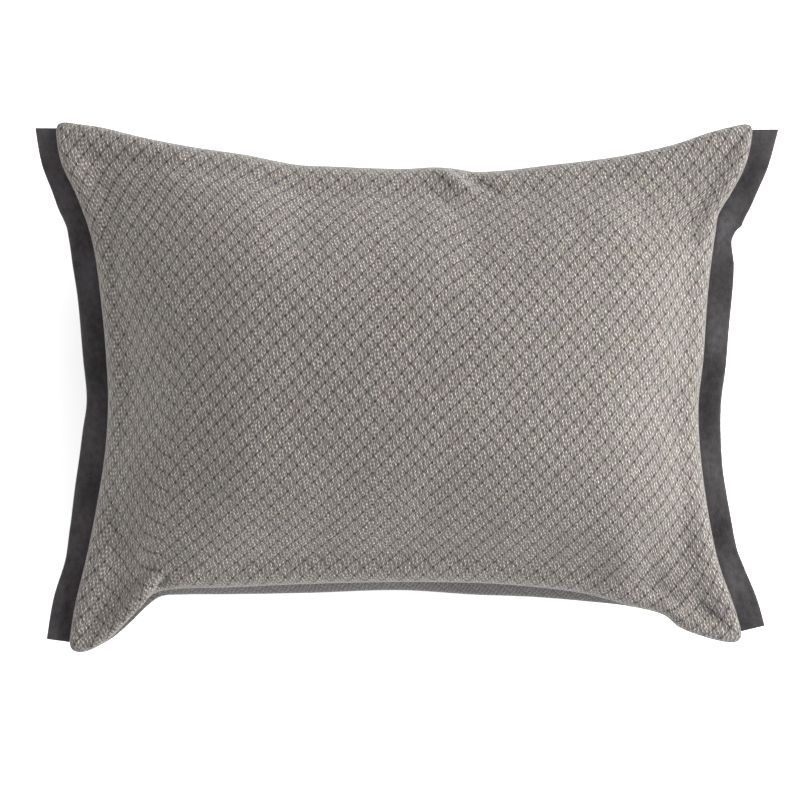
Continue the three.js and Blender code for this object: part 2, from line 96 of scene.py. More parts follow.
def smooth_line(points, count):
    """Evenly spaced points on a smooth curve through the given ones."""
    points = np.asarray(points, float)
    steps = np.sqrt(np.linalg.norm(np.diff(points, axis=0), axis=1))
    knots = np.r_[0, np.cumsum(steps)]
    slopes = np.gradient(points, knots, axis=0)
    fine = np.linspace(0, knots[-1], CURVE_FINENESS * len(points))
    k = np.clip(np.searchsorted(knots, fine, side="right") - 1, 0, len(points) - 2)
    width = (knots[k + 1] - knots[k])[:, None]
    t = (fine - knots[k])[:, None] / width
    curve = (
        points[k] * (1 + 2 * t) * (1 - t) ** 2
        + points[k + 1] * t * t * (3 - 2 * t)
        + slopes[k] * width * t * (1 - t) ** 2
        - slopes[k + 1] * width * t * t * (1 - t)
    )
    run = np.r_[0, np.cumsum(np.linalg.norm(np.diff(curve, axis=0), axis=1))]
    wanted = np.linspace(0, run[-1], count)
    return np.stack([np.interp(wanted, run, axis) for axis in curve.T], 1)


def places_on(line, shares_along):
    """Places on a finely sampled line at the given shares of its length."""
    at = np.linspace(0, 1, len(line))
    return np.stack([np.interp(shares_along, at, axis) for axis in line.T], 1)


def smoothstep(low, high, value):
    """Eased from 0 where the value is low to 1 where it is high."""
    t = np.clip((value - low) / (high - low), 0, 1)
    return t * t * (3 - 2 * t)


FRONT_SIDES = {
    "top": smooth_line(TOP_SIDE, LONG_SIDE_POINTS),
    "bottom": smooth_line(BOTTOM_SIDE, LONG_SIDE_POINTS),
    "left": smooth_line(LEFT_SIDE, SHORT_SIDE_POINTS),
    "right": smooth_line(RIGHT_SIDE, SHORT_SIDE_POINTS),
}
BACK_SIDES = {**FRONT_SIDES, "bottom": smooth_line(BACK_BOTTOM_SIDE, LONG_SIDE_POINTS)}
SIDES = {1: FRONT_SIDES, -1: BACK_SIDES}


def shares(cells, ease):
    """Shares from 0 to 1 that crowd towards both ends as ease goes from 0 to 1."""
    even = np.linspace(0, 1, cells + 1)
    return (1 - ease) * even + ease * (1 - np.cos(np.pi * even)) / 2


def plan_grid(us, vs, sides):
    """Plan points spanned between the four sides, as rows of v and columns of u."""
    top, bottom = places_on(sides["top"], us), places_on(sides["bottom"], us)
    left, right = places_on(sides["left"], vs), places_on(sides["right"], vs)
    u, v = us[None, :, None], vs[:, None, None]
    ruled = bottom * (1 - v) + top * v + left[:, None] * (1 - u) + right[:, None] * u
    corners = (
        bottom[0] * (1 - u) * (1 - v) + bottom[-1] * u * (1 - v)
        + top[0] * (1 - u) * v + top[-1] * u * v
    )
    return ruled - corners


def fullness(us, vs):
    """How full the stuffing is, from 0 at the edges to 1 in the middle."""
    spread, power = 2.1, 0.62
    across = 1 - np.abs(2 * us - 1) ** spread
    up = 1 - np.abs(2 * vs - 1) ** spread
    return np.outer(up, across) ** power


def rim_of(columns, rows):
    """A grid's outer points, anticlockwise from the bottom left, as rows and columns."""
    bottom = [(0, i) for i in range(columns)]
    right = [(j, columns) for j in range(rows)]
    top = [(rows, i) for i in range(columns, 0, -1)]
    left = [(j, 0) for j in range(rows, 0, -1)]
    j, i = zip(*(bottom + right + top + left))
    return np.array(j), np.array(i)


# ---- Simulation ------------------------------------------------------------------------------

SIM_CELLS = (96, 72)
SIM_EASE = 0.35  # how much the cells crowd towards the edges
SIM_FRAMES = 20
SPARE_CLOTH = 0.05  # share by which the panels are cut larger than they start
SWELL = 15  # how much lower they start than they end, at the crown
MOST_MOVE = 14  # about how far the simulation may move a point from its plain shape
EASE_STEPS = 10  # smoothing steps that take out wrinkles finer than the cloth would hold


def inflate():
    """The two panels, cut a little larger than a crowned shape, sewn round and blown up: the
    points of each in millimetres from the seam plane, as rows and columns."""
    columns, rows = SIM_CELLS
    us, vs = shares(columns, SIM_EASE), shares(rows, SIM_EASE)
    count = (columns + 1) * (rows + 1)
    plan = plan_grid(us, vs, FRONT_SIDES)
    crown = (CROWN / MM - SWELL) * fullness(us, vs)
    front = np.dstack([plan, crown]).reshape(count, 3)
    back = np.dstack([plan, -crown]).reshape(count, 3)
    number = np.arange(count).reshape(rows + 1, columns + 1)
    back_number = number + count
    rim = rim_of(columns, rows)
    back_number[rim] = number[rim]
    faces = []
    for j in range(rows):
        for i in range(columns):
            quad = [(j, i), (j, i + 1), (j + 1, i + 1), (j + 1, i)]
            faces.append([int(number[at]) for at in quad])
            faces.append([int(back_number[at]) for at in reversed(quad)])
    mesh = bpy.data.meshes.new("inflating")
    mesh.from_pydata((np.vstack([front, back]) * MM).tolist(), [], faces)
    shape = bpy.data.objects.new("inflating", mesh)
    bpy.context.scene.collection.objects.link(shape)
    pins = shape.vertex_groups.new(name="seam")
    pins.add(np.r_[number[rim], number[rim] + count].tolist(), 1, "REPLACE")
    cloth = shape.modifiers.new("cloth", "CLOTH")
    settings = cloth.settings
    settings.quality = 5
    settings.mass = 0.001
    settings.vertex_group_mass = "seam"
    settings.shrink_min = -SPARE_CLOTH
    settings.tension_stiffness = 40
    settings.compression_stiffness = 20
    settings.shear_stiffness = 4
    settings.bending_stiffness = 1
    settings.air_damping = 3
    settings.use_pressure = True
    settings.uniform_pressure_force = 20
    settings.effector_weights.gravity = 0
    cloth.collision_settings.use_collision = False
    cloth.point_cache.frame_start = 1
    cloth.point_cache.frame_end = SIM_FRAMES
    scene = bpy.context.scene
    for number_of_frame in range(1, SIM_FRAMES + 1):
        scene.frame_set(number_of_frame)
    result = shape.evaluated_get(bpy.context.evaluated_depsgraph_get()).data
    blown = np.empty(len(result.vertices) * 3)
    result.vertices.foreach_get("co", blown)
    scene.frame_set(1)
    bpy.data.objects.remove(shape)
    grids = blown.reshape(2, rows + 1, columns + 1, 3) / MM
    for _ in range(EASE_STEPS):
        grids[:, 1:-1, 1:-1] = (
            4 * grids[:, 1:-1, 1:-1] + grids[:, 2:, 1:-1] + grids[:, :-2, 1:-1]
            + grids[:, 1:-1, 2:] + grids[:, 1:-1, :-2]
        ) / 8
    grids[1][rim] = grids[0][rim]
    return {"us": us, "vs": vs, 1: grids[0], -1: grids[1]}


# ---- Small tools -----------------------------------------------------------------------------


def spline_weights(wanted, knots):
    """Rows of weights that turn values at the knots into values at the wanted places, with
    cubic steps between neighbouring knots."""
    last = len(knots) - 1
    k = np.clip(np.searchsorted(knots, wanted, side="right") - 1, 0, last - 1)
    width = knots[k + 1] - knots[k]
    t = (wanted - knots[k]) / width
    before, after = np.maximum(k - 1, 0), np.minimum(k + 2, last)
    weights = np.zeros((len(wanted), len(knots)))
    rows = np.arange(len(wanted))
    np.add.at(weights, (rows, k), (1 + 2 * t) * (1 - t) ** 2)
    np.add.at(weights, (rows, k + 1), t * t * (3 - 2 * t))
    leaving = width * t * (1 - t) ** 2 / (knots[k + 1] - knots[before])
    np.add.at(weights, (rows, k + 1), leaving)
    np.add.at(weights, (rows, before), -leaving)
    arriving = width * t * t * (1 - t) / (knots[after] - knots[k])
    np.add.at(weights, (rows, after), -arriving)
    np.add.at(weights, (rows, k), arriving)
    return weights


def mesh_piece(name, points, faces, material, smooth=True):
    """A new object made of points in metres."""
    mesh = bpy.data.meshes.new(name)
    mesh.from_pydata(np.asarray(points, float).tolist(), [], faces)
    mesh.update()
    if smooth:
        mesh.shade_smooth()
    mesh.materials.append(material)
    piece = bpy.data.objects.new(name, mesh)
    bpy.context.scene.collection.objects.link(piece)
    return piece


def keep_places(piece, places):
    """Keeps where each point lies on the cloth as cut, in metres, for its material to read."""
    spots = piece.data.attributes.new("flat_place", "FLOAT_VECTOR", "POINT")
    places = np.column_stack([np.asarray(places, float), np.zeros(len(places))])
    spots.data.foreach_set("vector", places.astype(np.float32).ravel())


def apply_modifiers(piece):
    """Replaces a piece's mesh with what its modifiers make of it."""
    shown = piece.evaluated_get(bpy.context.evaluated_depsgraph_get())
    mesh = bpy.data.meshes.new_from_object(shown)
    piece.modifiers.clear()
    piece.data = mesh


# ---- Cover -----------------------------------------------------------------------------------

COVER_CELLS = (190, 144)
COVER_EASE = 0.5
RING_STEPS = 6
EDGE_HOLD = 26  # how far from an edge the simulated shape takes over from the sewn one

# Creases in the front panel: the line each follows, how high it stands (or how deep it lies, if
# negative), its half width, and how much wider it is on its left side than on its right.
FRONT_CREASES = [
    ([(-98, 84), (-104, -10), (-100, -104)], 5.0, 34, 1.0),  # the stuffing pushed up on the left
    ([(187, 62), (181, 0), (185, -66)], 1.2, 13, 1.0),
    ([(16, 147), (31, 138), (47, 127)], 3.6, 3.6, 1.0),  # the pucker below the top edge
    ([(29, 149), (43, 140), (62, 129)], -3.8, 3.8, 1.0),
    ([(8, 137), (22, 127), (37, 114)], -2.3, 6.0, 1.0),
    ([(-79, 151), (-73, 138)], -1.4, 3.4, 1.0),
    ([(-193, -165), (-178, -147), (-161, -121)], 6.5, 5.4, 1.5),  # the fold beside the left ear
    ([(-175, -145), (-166, -135), (-158, -124)], -6.0, 3.6, 1.0),
    ([(-148, -128), (-136, -119), (-118, -115)], 2.2, 8.0, 1.0),
    ([(187, -153), (197, -150), (209, -157)], -2.6, 5.0, 1.0),  # the dent in the right ear
    ([(214, 117), (199, 112), (181, 112)], -2.8, 3.8, 1.0),  # the pinch in the right side
    ([(211, 106), (198, 101), (186, 102)], 1.8, 3.6, 1.0),
    ([(209, 96), (197, 91)], -1.6, 3.2, 1.0),
    ([(-212, 103), (-197, 95)], -1.6, 3.4, 1.0),
    ([(-203, -8), (-188, -13)], -1.2, 3.2, 1.0),
    ([(-214, -112), (-199, -106)], -1.4, 3.4, 1.0),
]


def unit(vectors):
    """The same directions at a length of 1."""
    return vectors / np.maximum(np.linalg.norm(vectors, axis=-1, keepdims=True), 1e-9)


def grid_normals(sheet, facing):
    """Which way each point of a panel faces."""
    across = np.gradient(sheet, axis=1)
    up = np.gradient(sheet, axis=0)
    return facing * unit(np.cross(across, up))


CREASE_POINTS = 60
CREASE_END = 0.03  # how nearly a crease has died away at its ends, as a share of half a turn
CREASE_FADE = 0.7  # below 1, a crease keeps its height for longer before its ends


def crease_lift(plan, creases):
    """How far the creases lift each point off the plain shape."""
    lift = np.zeros(plan.shape[:2])
    for points, height, half_width, left_widening in creases:
        line = smooth_line(points, CREASE_POINTS)
        gaps = plan[:, :, None] - line
        distances = np.linalg.norm(gaps, axis=3)
        nearest = distances.argmin(axis=2)
        distance = distances.min(axis=2)
        gap = np.take_along_axis(gaps, nearest[:, :, None, None], 2)[:, :, 0]
        way = np.gradient(line, axis=0)[nearest]
        on_left = way[..., 0] * gap[..., 1] > way[..., 1] * gap[..., 0]
        width = half_width * np.where(on_left, left_widening, 1)
        share = nearest / (len(line) - 1)
        fade = np.sin(np.pi * (CREASE_END + (1 - 2 * CREASE_END) * share)) ** CREASE_FADE
        lift += height * fade * np.exp(-((distance / width) ** 2))
    return lift


LUMPS = [(95, 1.2), (48, 0.4), (22, 0.12)]  # size across and height
LUMPS_APART = 7.3  # sets the front's pattern of lumps apart from the back's


def lumps(plan, facing):
    """The slight unevenness of the stuffing under the cloth."""
    lift = np.zeros(plan.shape[:2])
    for size, height in LUMPS:
        for at in np.ndindex(lift.shape):
            x, y = plan[at] / size
            lift[at] += height * noise.noise(Vector((x, y, LUMPS_APART * facing + size)))
    return lift


ROUNDING_PASSES = 60


def round_corners(sheet):
    """Draws the points round each corner together, so that the outline turns on a curve."""
    rows, columns = sheet.shape[0] - 1, sheet.shape[1] - 1
    corners = [sheet[j, i, :2].copy() for j in (0, rows) for i in (0, columns)]
    rim = rim_of(columns, rows)
    for _ in range(ROUNDING_PASSES):
        near = min_distance(sheet[..., :2], corners)
        weight = 0.5 * np.exp(-((near / CORNER_SOFTNESS) ** 2))[..., None]
        smooth = sheet.copy()
        smooth[1:-1, 1:-1] = (
            sheet[2:, 1:-1] + sheet[:-2, 1:-1] + sheet[1:-1, 2:] + sheet[1:-1, :-2]
        ) / 4
        loop = sheet[rim]
        smooth[rim] = (np.roll(loop, 1, axis=0) + np.roll(loop, -1, axis=0)) / 2
        sheet = sheet + weight * (smooth - sheet)
    return sheet


def min_distance(plan, spots):
    """How far each place is from the nearest of some spots."""
    return np.min([np.linalg.norm(plan - spot, axis=-1) for spot in spots], axis=0)


FLOOR_TURN = 6  # height over which the back panel turns into its flat rest


def press_on_floor(heights):
    """Heights below the seam plane, held at the floor with a rounded turn into it."""
    most = (SEAM_Z - FLOOR_Z) / MM
    over = (heights - (most - FLOOR_TURN)) / FLOOR_TURN
    pressed = most - FLOOR_TURN * np.exp(-np.maximum(over, 0))
    return np.where(over <= 0, heights, pressed)


def cloth_places(sheet):
    """Where each point lies on the cloth as cut: how far along its own row and column it is."""
    def run(axis, size):
        steps = np.linalg.norm(np.diff(sheet, axis=axis), axis=2)
        start = np.zeros_like(np.take(steps, [0], axis))
        total = np.cumsum(np.concatenate([start, steps], axis), axis)
        return size * (total / np.take(total, [-1], axis) - 0.5)
    return np.dstack([run(1, FLAT_SIZE[0]), run(0, FLAT_SIZE[1])])


LUMP_HOLD = 20  # how far from an edge the lumps reach their full height
CREASE_HOLD = 8  # and the creases
CREASE_SLACK = 1  # how far past the edge the creases die away
DROP_REACH = 14  # how far in from the edge the back panel's drop dies away


def cover_sheet(facing, blown):
    """A panel's points as rows and columns, in millimetres from the seam plane."""
    us, vs = shares(COVER_CELLS[0], COVER_EASE), shares(COVER_CELLS[1], COVER_EASE)
    plan = plan_grid(us, vs, SIDES[facing])
    edge_u = np.minimum(us, 1 - us) * FLAT_SIZE[0]
    edge_v = np.minimum(vs, 1 - vs) * FLAT_SIZE[1]
    from_edge = np.minimum(edge_v[:, None], edge_u[None])
    rise = np.sqrt(ROLL**2 - np.maximum(ROLL - from_edge, 0) ** 2)
    rolled = FLANGE_HALF_GAP + ROLL
    height = rolled + rise + (CROWN / MM - rolled - ROLL) * fullness(us, vs)
    if facing < 0:
        along_bottom = smoothstep(0.1, 0.2, us) * smoothstep(0.9, 0.75, us)
        from_bottom = np.exp(-edge_v / DROP_REACH) * (vs < 0.5)
        height = height + BACK_DROP * np.outer(from_bottom, along_bottom)
    sheet = np.dstack([plan, facing * height])
    if blown:
        across, up = spline_weights(us, blown["us"]), spline_weights(vs, blown["vs"])
        shift = np.einsum("ja,abk,ib->jik", up, blown[facing], across) - sheet
        length = np.linalg.norm(shift, axis=2, keepdims=True)
        shift *= np.tanh(length / MOST_MOVE) * MOST_MOVE / np.maximum(length, 1e-6)
        sheet = sheet + shift * smoothstep(0, EDGE_HOLD, from_edge)[..., None]
    lift = lumps(plan, facing) * smoothstep(0, LUMP_HOLD, from_edge)
    if facing > 0:
        hold = smoothstep(-CREASE_SLACK, CREASE_HOLD, from_edge)
        lift += crease_lift(plan, FRONT_CREASES) * hold
    sheet = sheet + lift[..., None] * grid_normals(sheet, facing)
    sheet = round_corners(sheet)
    if facing < 0:
        sheet[..., 2] = -press_on_floor(-sheet[..., 2])
    return sheet


def rim_outward(loop):
    """Level directions out of a closed loop that runs anticlockwise."""
    way = unit(np.roll(loop, -1, axis=0) - np.roll(loop, 1, axis=0))
    return np.column_stack([way[:, 1], -way[:, 0]])


RIM_SAMPLES = 200
BOTTOM_FACING = -0.3  # a rim that looks further down the pillow than this is its bottom one
STRAIGHT_PAST = 4  # past the front by this much, the back's roll has become a slope
MOST_STRAIGHT = 0.9


def roll_rings(sheet, facing):
    """The rings that carry a panel's rim round into its seam, and how far each has run."""
    rows, columns = sheet.shape[0] - 1, sheet.shape[1] - 1
    rim = rim_of(columns, rows)
    loop = sheet[rim]
    out = rim_outward(loop[:, :2])
    by_flange = smoothstep(0.55, 0.85, out[:, 0] * np.sign(loop[:, 0]))
    gap = OPEN_HALF_GAP + (FLANGE_HALF_GAP - OPEN_HALF_GAP) * by_flange
    front_bottom = places_on(FRONT_SIDES["bottom"], np.linspace(0, 1, RIM_SAMPLES))
    past_front = np.zeros(len(loop))
    if facing < 0:
        nearest = np.linalg.norm(loop[:, None, :2] - front_bottom, axis=2).min(axis=1)
        past_front = np.where(out[:, 1] < BOTTOM_FACING, np.minimum(nearest, MOST_PAST), 0)
    reach = ROLL + past_front
    straightness = np.minimum(past_front / STRAIGHT_PAST, MOST_STRAIGHT)
    start = np.abs(loop[:, 2])
    before = loop
    run = np.zeros(len(loop))
    rings, runs = [], []
    for step in range(1, RING_STEPS + 1):
        share = step / RING_STEPS
        angle = math.pi / 2 * share
        inward = 1 - math.cos(angle) + straightness * (share - 1 + math.cos(angle))
        upward = math.sin(angle) + straightness * (share - math.sin(angle))
        level = loop[:, :2] - out * (reach * inward)[:, None]
        height = gap + (start - gap) * (1 - upward)
        ring = np.column_stack([level, facing * height])
        run = run + np.linalg.norm(ring - before, axis=1)
        rings.append(ring)
        runs.append(run)
        before = ring
    return rim, out, rings, runs


def cover_panel(name, node, facing, blown, material):
    """A panel with its rolled rim. Gives back its points in rows and columns."""
    sheet = cover_sheet(facing, blown)
    rim, out, rings, runs = roll_rings(sheet, facing)
    places = cloth_places(sheet)
    rim_places = places[rim]
    points = [sheet.reshape(-1, 3), *rings]
    spots = [places.reshape(-1, 2), *[rim_places + out * run[:, None] for run in runs]]
    rows, columns = sheet.shape[0] - 1, sheet.shape[1] - 1
    number = np.arange((rows + 1) * (columns + 1)).reshape(rows + 1, columns + 1)
    faces = grid_faces(number)
    ring = number[rim]
    for step in range(len(rings)):
        below = number.size + step * len(ring) + np.arange(len(ring))
        after, below_after = np.roll(ring, -1), np.roll(below, -1)
        faces.append(np.column_stack([ring, below, below_after, after]))
        ring = below
    faces = np.vstack(faces)
    if facing < 0:
        faces = faces[:, ::-1]
    placed = np.vstack(points) * MM + (0, 0, SEAM_Z)
    panel = mesh_piece(name, placed, faces.tolist(), material)
    keep_places(panel, np.vstack(spots) * MM)
    solidify = panel.modifiers.new("cloth", "SOLIDIFY")
    solidify.thickness = FACE_CLOTH * MM
    solidify.offset = -1
    solidify.use_quality_normals = True
    apply_modifiers(panel)
    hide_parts(node)
    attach(panel, "cover")
    return sheet


def grid_faces(number):
    """Four-sided faces between points that are numbered in rows and columns."""
    quads = np.dstack([number[:-1, :-1], number[:-1, 1:], number[1:, 1:], number[1:, :-1]])
    return [quads.reshape(-1, 4)]


# ---- Flanges ---------------------------------------------------------------------------------

FLANGE_WIDTH = 17  # how far a flange stands out where it is widest but for a little stretch
FLANGE_TUCK = 1.6  # how far the suede reaches in behind the turned edges of the panels
SUEDE = 0.8  # thickness of one layer
SUEDE_GAP = 0.2  # between the two layers of the folded strip
FLANGE_ENDS = {"left": (0.02, 0.985), "right": (0.0225, 0.985)}  # share of its side it covers
FLANGE_STATIONS = 150
FLANGE_TOP = 0.93  # share of the way up from which its end turns level
FLANGE_ACROSS, FLANGE_BEND = 14, 6  # steps across each layer and round the fold
FLANGE_LENGTH = 345  # of the strip as cut, for its material
# How far a flange stands out at places up its side.
FLANGE_REACHES = {
    "left": [(-174, 15.2), (-145, 14.8), (-121, 13.4), (-100, 15), (-60, 16.6), (-32, 16.6),
             (-10, 14.4), (20, 15.2), (60, 15.4), (84, 16), (103, 14.6), (112, 13.6),
             (127, 14.6), (145, 13), (175, 13.4)],
    "right": [(-165, 16), (-145, 16.2), (-126, 15.4), (-112, 14.2), (-78, 14.4), (-55, 14.2),
              (-20, 14.8), (13, 15.4), (58, 16.4), (84, 15.2), (99, 12), (105, 13.4), (112, 17.4),
              (126, 16.2), (145, 14.2), (175, 17.2)],
}
# And how far it waves up or down, evenly from its bottom to its top.
FLANGE_WAVES = {
    "left": [1, 3.0, -2.0, 2.5, -2.5, 2.0, 3.5, -1.5, 2.5, -2.0, 1],
    "right": [2, -2.0, 3.0, -2.5, 2.0, 3.0, -2.5, 2.5, -4.0, 3.0, 1],
}


def smooth_run(values, shares_along):
    """Values set out evenly from 0 to 1, read with smooth steps between them."""
    knots = np.linspace(0, 1, len(values))
    return spline_weights(shares_along, knots) @ np.asarray(values, float)


def flange(side, material):
    """A strip of suede folded lengthways, with its cut edges sewn in behind the panels."""
    facing_out = 1 if side == "right" else -1
    station = np.linspace(0, 1, FLANGE_STATIONS)
    start, end = FLANGE_ENDS[side]
    line = places_on(FRONT_SIDES[side], start + (end - start) * station)
    way = unit(np.gradient(line, axis=0))
    out = facing_out * np.column_stack([way[:, 1], -way[:, 0]])
    at_top = smoothstep(FLANGE_TOP, 1, station)[:, None]
    out = unit(out * (1 - at_top) + np.array([facing_out, 0]) * at_top)
    heights, reaches = np.array(FLANGE_REACHES[side], float).T
    reach = spline_weights(line[:, 1], heights) @ reaches
    wave = smooth_run(FLANGE_WAVES[side], station)
    fold_radius = (SUEDE + SUEDE_GAP) / 2
    tuck = ROLL + FLANGE_TUCK
    profile = []  # (share of the way out, extra way out, height) round the folded strip
    for k in range(FLANGE_ACROSS + 1):
        profile.append((k / FLANGE_ACROSS, 0, fold_radius))
    for k in range(1, FLANGE_BEND):
        angle = math.pi * k / FLANGE_BEND
        profile.append((1, fold_radius * math.sin(angle), fold_radius * math.cos(angle)))
    for k in range(FLANGE_ACROSS, -1, -1):
        profile.append((k / FLANGE_ACROSS, 0, -fold_radius))
    points, spots = [], []
    run = 0
    for k, (share, extra, height) in enumerate(profile):
        if k:
            before = profile[k - 1]
            level_step = (share - before[0]) * (tuck + FLANGE_WIDTH) + extra - before[1]
            run += math.hypot(level_step, height - before[2])
        distance = share * (reach - fold_radius + tuck) - tuck + extra
        swing = smoothstep(0, 1, np.maximum(distance, 0) / reach) * wave
        level = line + out * distance[:, None]
        points.append(np.column_stack([level, swing + height]))
        spots.append(np.column_stack([np.full(len(line), run), station * FLANGE_LENGTH]))
    number = np.arange(len(profile) * len(line)).reshape(len(profile), len(line))
    faces = np.vstack(grid_faces(number))
    if side == "right":
        faces = faces[:, ::-1]
    placed = np.vstack(points) * MM + (0, 0, SEAM_Z)
    piece = mesh_piece(f"flange_{side}", placed, faces.tolist(), material)
    keep_places(piece, np.vstack(spots) * MM)
    solidify = piece.modifiers.new("suede", "SOLIDIFY")
    solidify.thickness = SUEDE * MM
    solidify.offset = 0
    apply_modifiers(piece)
    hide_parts(f"{side}_flange")
    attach(piece, "cover")
    return piece


# ---- Materials -------------------------------------------------------------------------------


class Look:
    """A material's nodes: each method adds one and gives back what comes out of it."""

    def __init__(self, name):
        self.material = bpy.data.materials.new(name)
        self.material.use_nodes = True
        self.tree = self.material.node_tree
        self.shader = self.tree.nodes["Principled BSDF"]

    def put(self, socket, value):
        if isinstance(value, bpy.types.NodeSocket):
            self.tree.links.new(value, socket)
        elif value is not None:
            socket.default_value = value

    def add(self, kind, values, out=0, **settings):
        node = self.tree.nodes.new(kind)
        for name, value in settings.items():
            setattr(node, name, value)
        for name, value in values.items():
            self.put(node.inputs[name], value)
        return node.outputs[out]

    def math(self, operation, *values, clamp=False):
        return self.add("ShaderNodeMath", dict(enumerate(values)), operation=operation, use_clamp=clamp)

    def vector(self, operation, *values):
        return self.add("ShaderNodeVectorMath", dict(enumerate(values)), operation=operation)

    def spot(self):
        """Where a point lies on the cloth as cut, in metres."""
        return self.add("ShaderNodeAttribute", {}, out="Vector", attribute_name="flat_place")

    def place(self):
        return self.add("ShaderNodeTexCoord", {}, out="Object")

    def split(self, vector):
        node = self.tree.nodes.new("ShaderNodeSeparateXYZ")
        self.put(node.inputs[0], vector)
        return node.outputs[0], node.outputs[1], node.outputs[2]

    def join(self, x, y, z=0):
        return self.add("ShaderNodeCombineXYZ", {"X": x, "Y": y, "Z": z})

    def noise(self, vector, scale, detail=2, out="Fac", roughness=0.5):
        values = {"Vector": vector, "Scale": scale, "Detail": detail, "Roughness": roughness}
        return self.add("ShaderNodeTexNoise", values, out=out)

    def chance(self, vector, out="Value"):
        return self.add("ShaderNodeTexWhiteNoise", {"Vector": vector}, out=out, noise_dimensions="3D")

    def between(self, value, low, high, to_low=0.0, to_high=1.0):
        """A value's place between two others, eased, as a value between two more."""
        names = {"Value": value, "From Min": low, "From Max": high, "To Min": to_low, "To Max": to_high}
        return self.add("ShaderNodeMapRange", names, interpolation_type="SMOOTHSTEP")

    def mix(self, share, first, second):
        node = self.tree.nodes.new("ShaderNodeMix")
        node.data_type = "RGBA"
        self.put(node.inputs[0], share)
        self.put(node.inputs[6], first)
        self.put(node.inputs[7], second)
        return node.outputs[2]

    def scaled_colour(self, colour, factor):
        if isinstance(colour, tuple):
            colour = colour[:3]
        return self.add("ShaderNodeVectorMath", {0: colour, "Scale": factor}, operation="SCALE")

    def bump(self, height, strength=1.0, distance=1.0, normal=None):
        values = {"Height": height, "Strength": strength, "Distance": distance, "Normal": normal}
        return self.add("ShaderNodeBump", values)

    def finish(self, **values):
        for name, value in values.items():
            self.put(self.shader.inputs[name.replace("_", " ")], value)
        return self.material


def grey(value, warmth=0.0):
    """A near-grey colour, warmer as warmth goes above 0."""
    return (value * (1 + warmth), value, value * (1 - warmth), 1)


DIAMOND_WIDTH = 11.25 * MM
DIAMOND_HEIGHT = 12.9 * MM
YARN = DIAMOND_WIDTH / 12
FLOAT_LENGTH = DIAMOND_HEIGHT / 4  # what shows of a yarn between two crossings
DASH = DIAMOND_HEIGHT / 9  # length of one tone along a marled yarn
MARL, HAIRS, RIBS, LATTICE, KNOTS = 0.58, 0.92, 0.32, 0.48, 0.7  # how much each varies the tone
ROSY, OLIVE = (0.1008, 0.0892, 0.0832), (0.0985, 0.0913, 0.0802)
BACK_PAINTED_SHADE = 0.5  # painted shade: how dark the back panel's cloth is against the front's, darkened to stand in for the shadow under the front panel's edge
CLOTH_START = (0.731, 0.593, 0.257)  # keeps the noise clear of its own zero planes


def painted_seam_shade(look):
    """Painted shade: the cloth darker within a few millimetres of its seams, and darkest past them on
    its rolled rim.
    """
    x, y, _ = look.split(look.spot())
    from_side = look.math("SUBTRACT", FLAT_SIZE[0] / 2 * MM, look.math("ABSOLUTE", x))
    from_end = look.math("SUBTRACT", FLAT_SIZE[1] / 2 * MM, look.math("ABSOLUTE", y))
    from_seam = look.math("MINIMUM", from_side, from_end)
    return look.between(from_seam, -1 * MM, 5 * MM, 0.66, 1.0)


